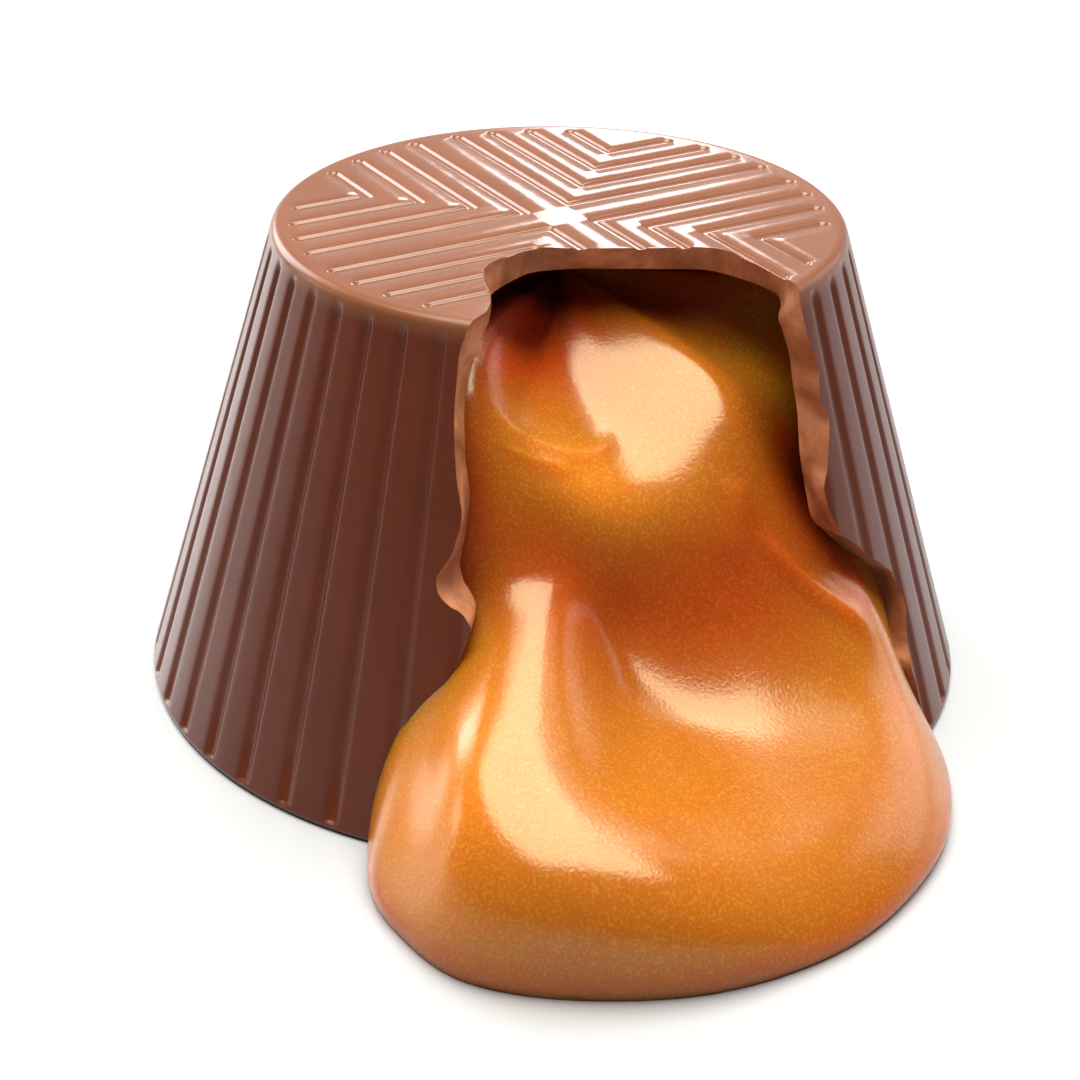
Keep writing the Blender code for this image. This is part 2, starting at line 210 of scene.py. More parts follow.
def outer_body():
    """The cup as if solid: engraved roof, rim, fluted side, foot and sole, grown from the roof's grid."""
    work = bmesh.new()
    lines = roof_lines()
    segments = len(lines) - 1
    bmesh.ops.create_grid(work, x_segments=segments, y_segments=segments, size=1.0)
    turn = Matrix.Rotation(math.radians(GROOVE_TURN), 4, "Z")
    for vert in work.verts:
        u, v = (lines[round((place + 1.0) / 2.0 * segments)] for place in (vert.co.x, vert.co.y))
        vert.co = turn @ Vector((u, v, HEIGHT))
    for trim in range(ROOF_TRIMS):
        outward = around(360.0 * trim / ROOF_TRIMS, 1.0, 0.0)
        bmesh.ops.bisect_plane(
            work,
            geom=work.verts[:] + work.edges[:] + work.faces[:],
            dist=TRIM_TOLERANCE,
            plane_co=outward * ROOF_TRIM_RADIUS,
            plane_no=outward,
            clear_outer=True,
        )
    edge = [item for item in work.edges if item.is_boundary]
    for vert in verts_of(edge):
        vert.co = around(angle_of(vert.co), ROOF_TRIM_RADIUS, HEIGHT)
    back = turn.inverted()
    for vert in work.verts:
        place = back @ vert.co
        vert.co.z = HEIGHT - groove_depth(place.x, place.y)

    columns = FLUTES * len(FLUTE_COLUMNS)
    first_radius, first_height = rim()[0]
    verts = bmesh.ops.create_circle(work, segments=columns, radius=first_radius)["verts"]
    for vert in verts:
        flute, column = divmod(round(angle_of(vert.co) * columns / 360.0) % columns, len(FLUTE_COLUMNS))
        angle = FLUTE_MIDDLE + flute * 360.0 / FLUTES + FLUTE_COLUMNS[column]
        vert.co = around(angle, first_radius, first_height)
    ring = [item for item in work.edges if item.is_wire]
    bmesh.ops.triangle_fill(work, use_beauty=True, edges=edge + ring)

    top, bottom = rim()[-1][1], foot()[0][1]
    rows = [top - FLUTE_RUN_OUT * (step + 1) / RUN_OUT_ROWS for step in range(RUN_OUT_ROWS)]
    low = bottom + FLUTE_RUN_IN
    rows += [rows[-1] + (low - rows[-1]) * (step + 1) / WALL_ROWS for step in range(WALL_ROWS)]
    rows += [low - FLUTE_RUN_IN * (step + 1) / RUN_IN_ROWS for step in range(RUN_IN_ROWS)]
    profile = rim()[1:] + [(outer_radius(row), row) for row in rows] + foot()[1:]
    for radius, height in profile:
        made = bmesh.ops.extrude_edge_only(work, edges=ring)["geom"]
        verts = {item for item in made if isinstance(item, bmesh.types.BMVert)}
        ring = [item for item in made if isinstance(item, bmesh.types.BMEdge) and set(item.verts) <= verts]
        for vert in verts:
            angle = angle_of(vert.co)
            vert.co = around(angle, radius - flute_depth(angle, height), height)
    bmesh.ops.contextual_create(work, geom=ring)
    return work


def turned(profile, sides):
    """A profile of radius and height from one end of the axis to the other, spun into a closed solid."""
    work = bmesh.new()
    verts = [work.verts.new((radius, 0.0, height)) for radius, height in profile]
    edges = [work.edges.new(pair) for pair in zip(verts, verts[1:])]
    bmesh.ops.spin(
        work,
        geom=verts + edges,
        axis=(0.0, 0.0, 1.0),
        cent=(0.0, 0.0, 0.0),
        angle=math.tau,
        steps=sides,
        use_merge=True,
    )
    return work


def cavity():
    """The hollow of the cup, with its corners rounded."""
    top, bottom = HEIGHT - ROOF, SOLE
    lower_centre = inner_radius(bottom) - setback(CAVITY_FILLET, 1)
    upper_centre = inner_radius(top) - setback(CAVITY_FILLET, -1)
    lower = arc((lower_centre, bottom + CAVITY_FILLET), CAVITY_FILLET, -90.0, WALL_LEAN, CAVITY_STEPS)
    upper = arc((upper_centre, top - CAVITY_FILLET), CAVITY_FILLET, WALL_LEAN, 90.0, CAVITY_STEPS)
    return turned([(0.0, bottom)] + lower + upper + [(0.0, top)], CAVITY_SIDES)


# The break. On the side, a point of its edge is an angle, a share of the height and the angle by which the
# inner edge lags behind. On the roof it is X and Y in millimetres, of the outer and then of the inner edge.
BREAK_LEFT = (
    (-18.0, 0.11, 0.0),
    (-17.2, 0.21, 0.0),
    (-14.6, 0.31, -0.6),
    (-13.0, 0.392, -0.5),
    (-11.9, 0.444, -0.8),
    (-14.0, 0.471, 0.4),
    (-16.9, 0.499, 1.6),
    (-17.6, 0.532, 1.6),
    (-15.7, 0.581, 0.1),
    (-14.7, 0.65, -0.6),
    (-16.2, 0.73, -0.8),
    (-17.3, 0.82, -0.7),
    (-17.5, 0.90, 0.3),
    (-17.4, 0.95, 1.6),
)
BREAK_ROOF = (
    (-2.57, -8.95, -2.30, -8.10),
    (-2.10, -8.00, -2.15, -7.30),
    (-2.02, -6.87, -2.06, -6.40),
    (-2.25, -5.50, -2.12, -5.40),
    (-2.23, -4.53, -2.05, -4.50),
    (-1.79, -3.76, -1.60, -3.65),
    (-0.84, -2.85, -0.83, -2.70),
    (0.40, -2.83, 0.53, -2.30),
    (1.93, -2.76, 2.10, -2.25),
    (3.10, -2.70, 3.20, -2.20),
    (4.26, -2.58, 4.55, -2.22),
    (5.22, -2.79, 5.20, -2.50),
    (6.10, -3.78, 5.95, -3.10),
    (6.71, -4.75, 6.67, -3.95),
    (7.20, -5.50, 6.95, -4.70),
)
BREAK_RIGHT = (
    (51.6, 0.965, 2.4),
    (52.0, 0.893, 2.6),
    (53.2, 0.836, 2.2),
    (51.9, 0.781, 2.6),
    (53.4, 0.733, 0.8),
    (50.4, 0.648, 2.0),
    (49.2, 0.598, 2.8),
    (50.6, 0.525, 1.4),
    (54.0, 0.483, 0.9),
    (57.8, 0.435, 1.2),
    (61.9, 0.389, 1.4),
    (64.7, 0.345, 1.4),
    (65.8, 0.284, 1.2),
    (64.3, 0.208, 1.2),
    (62.8, 0.165, 1.2),
    (63.4, 0.12, 0.6),
)
BREAK_FOOT = 0.65 * MM
BREAK_FOOT_RISE = 0.55 * MM
BREAK_FOOT_STEPS = 9
BREAK_SUBSTEPS = 10
BREAK_ROWS = 12
BREAK_OVERRUN = 0.8
BREAK_SWELL = 0.10 * MM
BREAK_SWELL_SIZE = 1.3 * MM
BREAK_SWELL_LEAST = 0.25
BREAK_GRAIN = 0.018 * MM
BREAK_GRAIN_SIZE = 0.22 * MM
BREAK_GRAIN_OCTAVES = 3

# Where the fans that close the break's body meet, in the cup and in front of it
BREAK_HEART = Vector((2.0, -4.0, 8.0)) * MM
BREAK_OUTSIDE = Vector((12.0, -38.0, 30.0)) * MM


def catmull(before, start, end, after, share):
    """A point of the smooth curve from start to end, given their neighbours."""
    square = share * share
    cube = square * share
    return 0.5 * (
        2.0 * start
        + (end - before) * share
        + (2.0 * before - 5.0 * start + 4.0 * end - after) * square
        + (3.0 * start - before - 3.0 * end + after) * cube
    )


def wall_pair(angle, share, lag):
    """An outer and an inner point of the break in the wall, the inner one below the hollow's upper corner."""
    height = share * HEIGHT
    inner_height = min(height, HEIGHT - ROOF - CAVITY_FILLET)
    outer = around(angle, outer_radius(height), height)
    return outer, around(angle + lag, inner_radius(inner_height), inner_height)


def break_pairs():
    """The outer and inner points of the break's edge, once round it from the left foot."""
    pairs = [wall_pair(*place) for place in BREAK_LEFT]
    for x, y, inner_x, inner_y in BREAK_ROOF:
        outer = Vector((x * MM, y * MM, HEIGHT))
        pairs.append((outer, Vector((inner_x * MM, inner_y * MM, HEIGHT - ROOF))))
    pairs += [wall_pair(*place) for place in BREAK_RIGHT]
    first, last = BREAK_LEFT[0][0], BREAK_RIGHT[-1][0]
    for step in range(BREAK_FOOT_STEPS + 1):
        angle = last + (first - last) * step / BREAK_FOOT_STEPS
        low = around(angle, outer_radius(BREAK_FOOT), BREAK_FOOT)
        high = BREAK_FOOT + BREAK_FOOT_RISE
        pairs.append((low, around(angle, inner_radius(high), high)))
    return pairs


def break_body():
    """What the shell lacks: a ring of ragged faces through the wall, closed by a fan on either side."""
    pairs = break_pairs()
    count = len(pairs)
    shares = [row / (BREAK_ROWS - 1) for row in range(BREAK_ROWS)]
    shares = [-BREAK_OVERRUN] + shares + [1.0 + BREAK_OVERRUN]
    work = bmesh.new()
    rows = [[] for _ in shares]
    for index in range(count):
        four = [pairs[(index + offset) % count] for offset in (-1, 0, 1, 2)]
        for substep in range(BREAK_SUBSTEPS):
            share = substep / BREAK_SUBSTEPS
            outer = catmull(*(pair[0] for pair in four), share)
            inner = catmull(*(pair[1] for pair in four), share)
            middle = (outer + inner) / 2.0
            sideways = (BREAK_HEART - middle).cross(outer - inner).cross(outer - inner).normalized()
            for row, depth in zip(rows, shares):
                point = inner.lerp(outer, depth)
                swell = noise.noise(point / BREAK_SWELL_SIZE)
                swell *= max(BREAK_SWELL_LEAST, 4.0 * depth * (1.0 - depth))
                grain = noise.turbulence(point / BREAK_GRAIN_SIZE, BREAK_GRAIN_OCTAVES, False)
                point += sideways * (BREAK_SWELL * swell + BREAK_GRAIN * grain)
                row.append(work.verts.new(point))
    for row in rows:
        for pair in zip(row, row[1:] + row[:1]):
            work.edges.new(pair)
    for low, high in zip(rows, rows[1:]):
        edges = [edge for vert in low + high for edge in vert.link_edges]
        edges = [edge for edge in set(edges) if set(edge.verts) <= set(low) or set(edge.verts) <= set(high)]
        bmesh.ops.bridge_loops(work, edges=edges)
    for row, apex in ((rows[0], BREAK_HEART), (rows[-1], BREAK_OUTSIDE)):
        tip = work.verts.new(apex)
        for pair in zip(row, row[1:] + row[:1]):
            work.faces.new((*pair, tip))
    return work


# Making pieces
SHARP_ANGLE = 38.0


def finished(name, work, slot=0):
    """The object of a finished bmesh, merged and with its faces turned outwards."""
    bmesh.ops.remove_doubles(work, verts=work.verts, dist=MERGE_DISTANCE)
    bmesh.ops.recalc_face_normals(work, faces=work.faces)
    for face in work.faces:
        face.material_index = slot
        face.smooth = True
    mesh = bpy.data.meshes.new(name)
    work.to_mesh(mesh)
    work.free()
    piece = bpy.data.objects.new(name, mesh)
    bpy.context.scene.collection.objects.link(piece)
    return piece


def carve(piece, cutter):
    """Takes the cutter away from the piece for good. Its faces keep the cutter's material slot."""
    modifier = piece.modifiers.new("Carve", "BOOLEAN")
    modifier.operation = "DIFFERENCE"
    modifier.solver = "MANIFOLD"
    modifier.object = cutter
    graph = bpy.context.evaluated_depsgraph_get()
    mesh = bpy.data.meshes.new_from_object(piece.evaluated_get(graph))
    piece.modifiers.clear()
    piece.data = mesh
    bpy.data.objects.remove(cutter, do_unlink=True)


def make_shell():
    """The chocolate, with the break and then the hollow cut out of it."""
    shell = finished("fine_chocolate_shell", outer_body())
    for material in (moulded_chocolate(), broken_chocolate()):
        shell.data.materials.append(material)
    for name, work, slot in (("break", break_body(), 1), ("hollow", cavity(), 0)):
        cutter = finished(name, work, slot)
        for material in shell.data.materials:
            cutter.data.materials.append(material)
        carve(shell, cutter)
    shell.data.set_sharp_from_angle(angle=math.radians(SHARP_ANGLE))
    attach(shell, "root")
    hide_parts("chocolate_shell")


# The caramel: outlines from the middle of its top to the table, as radius and height in millimetres. Their
# stations pull the surface towards them, and OUTLINES gives the angle of each.
IN_THE_CUP = (
    (0.0, 14.2), (2.8, 14.1), (5.6, 14.2), (7.8, 14.0), (8.9, 13.1), (9.4, 11.9), (9.8, 10.6), (10.2, 9.3),
    (10.6, 8.0), (11.0, 6.8), (11.4, 5.6), (11.8, 4.4), (12.2, 3.2), (12.6, 2.0), (13.0, 0.9), (13.2, 0.3),
)
BEHIND_THE_WALL = (
    (0.0, 14.2), (2.8, 14.1), (5.6, 14.1), (7.5, 13.7), (8.3, 12.6), (8.6, 11.4), (8.9, 10.1), (9.2, 8.8),
    (9.5, 7.5), (9.8, 6.3), (10.1, 5.1), (10.4, 4.0), (10.8, 3.0), (11.2, 2.0), (11.6, 1.0), (11.8, 0.3),
)
LEFT_WALL = (
    (0.0, 14.2), (2.6, 14.0), (5.2, 13.9), (7.4, 13.8), (8.8, 12.7), (9.4, 11.0), (9.9, 9.3), (10.3, 7.9),
    (10.8, 6.7), (11.4, 5.5), (12.2, 4.5), (13.4, 3.5), (14.9, 2.45), (16.1, 1.4), (16.6, 0.6), (16.3, 0.0),
)
LEFT_FLANK = (
    (0.0, 14.2), (2.4, 13.7), (4.8, 13.4), (6.8, 13.0), (8.4, 12.3), (9.1, 10.7), (9.6, 9.2), (10.0, 7.6),
    (10.8, 6.45), (11.95, 5.55), (13.5, 4.7), (15.1, 3.7), (16.6, 2.5), (17.6, 1.4), (18.15, 0.55),
    (17.9, 0.0),
)
OUTER_RIDGE = (
    (0.0, 14.2), (2.2, 13.5), (4.5, 12.75), (6.5, 12.1), (8.2, 11.75), (9.0, 10.3), (9.6, 8.95),
    (10.2, 7.6), (11.55, 6.7), (13.4, 6.15), (15.5, 5.75), (17.4, 4.9), (18.7, 3.5), (19.45, 1.85),
    (19.7, 0.65), (19.45, 0.0),
)
LEFT_RIDGE = (
    (0.0, 14.2), (2.1, 13.4), (4.2, 12.45), (6.2, 11.8), (8.0, 11.4), (8.8, 10.05), (9.4, 8.75),
    (10.1, 7.75), (11.8, 7.1), (13.6, 6.35), (15.5, 5.7), (17.5, 5.0), (19.2, 4.05), (20.1, 2.4),
    (20.3, 0.9), (20.0, 0.0),
)
RIDGE_CREST = (
    (0.0, 14.2), (2.0, 13.3), (4.0, 12.25), (6.1, 11.5), (8.0, 11.1), (8.8, 9.85), (9.3, 8.5), (10.1, 7.6),
    (11.7, 6.9), (13.5, 6.1), (15.4, 5.45), (17.4, 4.9), (19.4, 4.2), (20.35, 2.7), (20.55, 1.0),
    (20.25, 0.0),
)
TERRACE = (
    (0.0, 14.2), (2.0, 13.25), (4.0, 12.15), (6.0, 11.25), (7.9, 10.85), (8.8, 9.55), (9.25, 8.1),
    (10.0, 7.0), (11.5, 6.1), (13.3, 5.3), (15.2, 4.8), (17.3, 4.6), (19.4, 4.0), (20.5, 2.55), (20.7, 1.0),
    (20.35, 0.0),
)
HOLLOW_LEFT = (
    (0.0, 14.2), (2.0, 13.3), (4.0, 12.12), (6.0, 11.05), (7.8, 10.6), (8.8, 9.2), (9.25, 7.5), (9.8, 6.0),
    (11.2, 4.9), (12.8, 4.35), (15.0, 4.15), (17.3, 4.3), (19.4, 3.75), (20.55, 2.3), (20.75, 0.9),
    (20.45, 0.0),
)
HOLLOW = (
    (0.0, 14.2), (2.0, 13.4), (4.0, 12.2), (6.0, 10.98), (7.7, 10.38), (8.7, 8.95), (9.2, 7.4), (9.8, 5.9),
    (11.3, 4.6), (12.5, 4.0), (14.9, 3.75), (17.2, 3.75), (19.3, 3.2), (20.5, 1.95), (20.7, 0.75),
    (20.4, 0.0),
)
HOLLOW_MIDDLE = (
    (0.0, 14.2), (2.0, 13.45), (4.0, 12.35), (6.0, 11.05), (7.6, 10.3), (8.8, 9.0), (9.4, 7.4), (10.2, 5.8),
    (11.6, 4.4), (12.5, 3.85), (14.8, 3.5), (17.2, 3.2), (19.0, 2.45), (20.0, 1.35), (20.35, 0.55),
    (20.1, 0.0),
)
HOLLOW_RIGHT = (
    (0.0, 14.2), (2.0, 13.45), (4.0, 12.45), (6.0, 11.3), (7.6, 10.45), (8.9, 9.2), (9.6, 7.6),
    (10.6, 5.85), (12.3, 4.3), (13.3, 3.75), (15.0, 3.45), (16.8, 3.05), (18.4, 2.25), (19.4, 1.2),
    (19.85, 0.5), (19.6, 0.0),
)
RIGHT_SLOPE = (
    (0.0, 14.2), (2.0, 13.5), (4.0, 12.65), (6.0, 11.65), (7.6, 10.85), (8.8, 9.5), (9.7, 7.8), (10.7, 6.1),
    (12.0, 4.75), (13.0, 3.9), (14.6, 3.3), (16.2, 2.85), (17.5, 2.15), (18.4, 1.15), (18.8, 0.5),
    (18.55, 0.0),
)
RIGHT_SHOULDER = (
    (0.0, 14.2), (2.0, 13.6), (4.0, 12.9), (5.9, 12.15), (7.6, 11.45), (8.6, 9.95), (9.6, 8.1), (10.9, 6.4),
    (12.1, 5.1), (13.0, 4.2), (14.1, 3.5), (15.3, 2.95), (16.5, 2.15), (17.4, 1.15), (17.75, 0.5),
    (17.5, 0.0),
)
RIGHT_CREST = (
    (0.0, 14.2), (2.0, 13.7), (4.0, 13.1), (5.9, 12.5), (7.6, 11.75), (8.5, 9.9), (9.7, 8.1), (11.2, 6.6),
    (12.4, 5.4), (13.0, 4.4), (13.7, 3.6), (14.5, 2.9), (15.4, 2.1), (16.1, 1.1), (16.4, 0.5), (16.2, 0.0),
)
RIGHT_BANK = (
    (0.0, 14.2), (2.0, 13.65), (4.0, 13.0), (5.9, 12.3), (7.6, 11.5), (8.3, 10.0), (9.2, 8.4), (10.7, 6.95),
    (12.0, 5.8), (12.6, 4.9), (13.0, 4.1), (13.4, 3.2), (14.0, 2.3), (14.8, 1.3), (15.3, 0.6), (15.1, 0.0),
)
RIGHT_VALLEY = (
    (0.0, 14.2), (2.0, 13.6), (4.0, 12.9), (6.0, 12.15), (7.8, 11.35), (8.6, 10.0), (9.1, 8.7), (9.9, 7.4),
    (10.8, 6.2), (11.5, 5.3), (12.1, 4.4), (12.5, 3.5), (12.9, 2.6), (13.3, 1.7), (13.6, 0.9), (13.7, 0.3),
)
RIGHT_WALL = (
    (0.0, 14.2), (2.2, 13.6), (4.4, 12.8), (6.6, 11.95), (8.0, 11.1), (8.7, 10.0), (9.4, 8.9), (10.2, 7.8),
    (10.9, 6.8), (11.3, 5.8), (11.6, 4.8), (11.9, 3.8), (12.2, 2.9), (12.5, 2.0), (12.8, 1.1), (13.1, 0.3),
)
RIGHT_CORNER = (
    (0.0, 14.2), (2.5, 13.7), (5.0, 13.0), (7.2, 12.2), (8.4, 11.3), (9.1, 10.3), (9.7, 9.3), (10.2, 8.3),
    (10.6, 7.3), (11.0, 6.2), (11.4, 5.1), (11.8, 4.0), (12.2, 2.9), (12.6, 1.9), (12.9, 0.9), (13.1, 0.3),
)
OUTLINES = (
    (-32.0, IN_THE_CUP),
    (-26.0, BEHIND_THE_WALL),
    (-20.0, LEFT_WALL),
    (-14.0, LEFT_FLANK),
    (-9.0, OUTER_RIDGE),
    (-4.0, LEFT_RIDGE),
    (1.0, RIDGE_CREST),
    (5.5, TERRACE),
    (10.0, HOLLOW_LEFT),
    (15.0, HOLLOW),
    (21.0, HOLLOW_MIDDLE),
    (28.0, HOLLOW_RIGHT),
    (36.0, RIGHT_SLOPE),
    (44.0, RIGHT_SHOULDER),
    (51.0, RIGHT_CREST),
    (57.0, RIGHT_BANK),
    (62.0, RIGHT_VALLEY),
    (68.0, RIGHT_WALL),
    (76.0, RIGHT_CORNER),
    (84.0, IN_THE_CUP),
)
COLUMN_SUBSTEPS = 13
BACK_COLUMNS = 24
STATION_SUBSTEPS = 9


def soft_curve(points, place):
    """A point of the smooth curve that these points pull towards them, where place counts the points."""
    last = len(points) - 1
    index = min(int(place), last - 1)
    share = place - index
    before = points[index - 1] if index > 0 else 2.0 * points[0] - points[1]
    after = points[index + 2] if index + 2 <= last else 2.0 * points[last] - points[last - 1]
    weights = (
        (1.0 - share) ** 3,
        3.0 * share**3 - 6.0 * share**2 + 4.0,
        -3.0 * share**3 + 3.0 * share**2 + 3.0 * share + 1.0,
        share**3,
    )
    near = (before, points[index], points[index + 1], after)
    return sum((weight * point for weight, point in zip(weights, near)), points[0] * 0.0) / 6.0


def ring_points(along):
    """Where every outline is at one place along it, as angle, radius and height."""
    points = []
    for angle, outline in OUTLINES:
        radius, height = soft_curve([Vector(station) for station in outline], along)
        points.append(Vector((angle, radius, height)))
    return points


def on_caramel(angle, radius, height):
    return around(angle, radius * MM, max(height, 0.0) * MM)


# Folds on the caramel: how far they rise and half their width in millimetres, then places across and along
STROKES = (
    (
        0.11, 0.30,
        ((2.2, 3.5), (3.2, 3.8), (4.2, 3.9), (5.4, 3.9), (6.8, 3.8), (8.0, 3.65), (8.9, 3.35), (9.2, 2.9)),
    ),
    (0.12, 0.18, ((3.2, 4.2), (4.1, 4.25), (5.1, 4.25), (6.0, 4.2), (6.9, 4.15))),
    (
        0.20, 0.35,
        ((12.7, 5.8), (12.9, 6.2), (13.2, 6.7), (13.5, 7.2), (13.8, 7.6), (14.2, 8.2), (14.3, 9.1)),
    ),
    (0.13, 0.50, ((12.6, 4.9), (12.4, 5.2), (12.1, 5.6), (11.6, 6.2))),
)
STROKE_STEPS = 14
STROKE_REACH = 2.5
STROKE_FADE = 4.0


def draw_stroke(work, rise, width, path):
    """Lifts the caramel along a path that counts the outlines and their stations, fading at both ends."""
    steps = (len(path) - 1) * STROKE_STEPS
    middles = kdtree.KDTree(steps + 1)
    for step in range(steps + 1):
        across, along = soft_curve([Vector(place) for place in path], step / STROKE_STEPS)
        middles.insert(on_caramel(*soft_curve(ring_points(along), across)), step)
    middles.balance()
    work.normal_update()
    moves = []
    for vert in work.verts:
        _, step, off = middles.find(vert.co)
        if off < STROKE_REACH * width:
            end = min(step, steps - step) / steps
            moves.append((vert, rise * ease(end * STROKE_FADE) * math.exp(-((off / width) ** 2))))
    for vert, move in moves:
        vert.co += vert.normal * move


# Painted shade and painted light on the caramel, with some of its thickness: places across and along, how far
# each reaches in both, and how much it adds. More is painted shade, deeper red to near black; less than
# nothing is painted light.
SHADE_AND_THICKNESS_LEAST = -1.0
SHADE_AND_THICKNESS_MOST = 2.0
SHADE_AND_THICKNESS_SPOTS = (
    (4.5, 6.2, 2.6, 1.7, 0.45),
    (8.5, 6.6, 3.6, 1.7, 0.8),
    (12.5, 6.4, 2.0, 1.6, 0.6),
    (15.8, 5.6, 1.5, 1.2, 1.5),
    (15.4, 7.2, 1.0, 1.3, 1.2),
    (17.2, 3.6, 1.4, 0.9, -1.2),
    (18.6, 1.6, 2.6, 1.1, 1.0),
    (2.3, 1.3, 2.4, 1.3, 1.7),
    (5.0, 0.4, 8.0, 1.8, 1.8),
    (7.6, 4.4, 3.2, 0.8, -1.1),
    (3.4, 11.0, 1.4, 2.2, -0.8),
    (2.4, 8.8, 0.9, 1.4, 0.8),
    (2.5, 5.6, 0.8, 2.2, 0.8),
)


def shade_and_thickness_at(across, along):
    """Less than 0 for painted light, 0 in the open, more for thick caramel and painted shade."""
    total = 0.0
    for middle_across, middle_along, wide, long, share in SHADE_AND_THICKNESS_SPOTS:
        off = ((across - middle_across) / wide) ** 2 + ((along - middle_along) / long) ** 2
        total += share * math.exp(-off)
    return min(max(total, SHADE_AND_THICKNESS_LEAST), SHADE_AND_THICKNESS_MOST)


def caramel_body():
    """A turned template whose rings are then laid along the outlines."""
    rings = (len(IN_THE_CUP) - 1) * STATION_SUBSTEPS
    front = (len(OUTLINES) - 1) * COLUMN_SUBSTEPS
    columns = front + BACK_COLUMNS
    profile = [(float(ring), float(-ring)) for ring in range(rings + 1)]
    work = turned(profile + [(0.0, -rings - 1.0)], columns)
    bmesh.ops.remove_doubles(work, verts=work.verts, dist=TEMPLATE_MERGE_DISTANCE)
    # The depth layer holds painted shade and painted light, with some of the caramel's thickness
    depth = work.verts.layers.float.new("depth")
    points = [ring_points(ring / STATION_SUBSTEPS) for ring in range(rings + 1)]
    left, right = OUTLINES[0][0], OUTLINES[-1][0]
    for vert in work.verts:
        ring = round(-vert.co.z)
        if ring > rings:
            vert.co = Vector((0.0, 0.0, 0.0))
            continue
        turn = math.degrees(math.atan2(vert.co.y, vert.co.x)) % 360.0
        column = round(turn * columns / 360.0) % columns
        if column <= front:
            vert.co = on_caramel(*soft_curve(points[ring], column / COLUMN_SUBSTEPS))
            vert[depth] = shade_and_thickness_at(column / COLUMN_SUBSTEPS, ring / STATION_SUBSTEPS)
        else:
            angle = right + (360.0 - right + left) * (column - front) / BACK_COLUMNS
            vert.co = on_caramel(angle, points[ring][0].y, points[ring][0].z)
            # Painted shade: the back, inside the cup, gets the colour of thick, dim caramel
            vert[depth] = 1.0
    for rise, width, path in STROKES:
        draw_stroke(work, rise * MM, width * MM, path)
    return work


def make_caramel():
    """The caramel, in the cup and out to the end of its puddle."""
    caramel = finished("flowing_caramel", caramel_body())
    caramel.data.materials.append(soft_caramel())
    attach(caramel, "root")
    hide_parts("caramel_filling")


# Materials. The stops of a ramp are a place and a linear red, green and blue.
# The roof is paler than the side: painted light on the roof and painted shade on the side, of one chocolate
PAINTED_SHADED_SIDE_TONES = ((0.3, (0.096, 0.0218, 0.0100)), (0.7, (0.113, 0.0256, 0.0120)))
PAINTED_LIT_ROOF_TONES = ((0.3, (0.165, 0.057, 0.026)), (0.7, (0.190, 0.067, 0.031)))
PAINTED_LIT_ROOF_HEIGHTS = (HEIGHT - 0.7 * MM, HEIGHT - 0.2 * MM)
ROOF_GLOSS_HEIGHTS = (HEIGHT - 0.6 * MM, HEIGHT - 0.3 * MM)
ROOF_GLOSS_RADII = (9.15 * MM, 8.75 * MM)
ROUGHNESS_SIDE_ROOF = (0.28, 0.14)
SPECULAR_SIDE_ROOF = (0.28, 0.50)
BROKEN_TONES = ((0.30, (0.19, 0.055, 0.023)), (0.50, (0.38, 0.135, 0.060)), (0.70, (0.60, 0.26, 0.14)))
BROKEN_STREAKS = ((0.60, (1.0, 1.0, 1.0)), (0.72, (1.35, 1.35, 1.35)))
# Caramel colour from painted light, through open and thick caramel, to painted shade near black
CARAMEL_BY_SHADE_AND_THICKNESS = (
    (0.0, (0.64, 0.220, 0.0180)),
    (0.333, (0.43, 0.143, 0.0110)),
    (0.667, (0.37, 0.048, 0.0055)),
    (1.0, (0.08, 0.006, 0.0015)),
)
CARAMEL_CLOUDS = ((0.3, (0.93, 0.90, 0.88)), (0.7, (1.0, 1.0, 1.0)))
CARAMEL_GRAIN = ((0.50, (0.92, 0.89, 0.85)), (0.66, (1.15, 1.28, 1.70)))
# Painted shade: the caramel is darker and redder in a band along the table
CARAMEL_LOW_SHADE = (0.50, 0.090, 0.0070)
CARAMEL_LOW_SHADE_BAND = 1.5 * MM
SPECULAR_LOW_HIGH = (0.12, 0.58)
FLOOR_COLOUR = (0.445, 0.462, 0.515, 1.0)
SKY_TONES = ((0.0, (0.04, 0.04, 0.04)), (0.62, (0.12, 0.12, 0.12)), (0.92, (0.62, 0.60, 0.60)))


def new_material(name):
    material = bpy.data.materials.new(name)
    material.use_nodes = True
    nodes = material.node_tree.nodes
    return material, nodes, material.node_tree.links, nodes["Principled BSDF"]


def place_of(nodes):
    return nodes.new("ShaderNodeTexCoord").outputs["Object"]


def cloud(nodes, links, where, size, detail=3.0, rough=0.5, distortion=0.0):
    """A noise whose lumps are about one size across."""
    texture = nodes.new("ShaderNodeTexNoise")
    texture.inputs["Scale"].default_value = 1.0 / size
    texture.inputs["Detail"].default_value = detail
    texture.inputs["Roughness"].default_value = rough
    texture.inputs["Distortion"].default_value = distortion
    links.new(where, texture.inputs["Vector"])
    return texture.outputs["Fac"]


def ramp(nodes, links, factor, *stops):
    """A colour ramp over stops of place and colour."""
    node = nodes.new("ShaderNodeValToRGB")
    elements = node.color_ramp.elements
    for number, (place, colour) in enumerate(stops):
        stop = elements[number] if number < 2 else elements.new(place)
        stop.position = place
        stop.color = (*colour, 1.0)
    links.new(factor, node.inputs["Fac"])
    return node.outputs["Color"]


def bump(nodes, links, below, height, strength, distance):
    """Relief on the shader or the bump below it, returned for a coarser one to go under it in turn."""
    node = nodes.new("ShaderNodeBump")
    node.inputs["Strength"].default_value = strength
    node.inputs["Distance"].default_value = distance
    links.new(height, node.inputs["Height"])
    links.new(node.outputs["Normal"], below.inputs["Normal"])
    return node


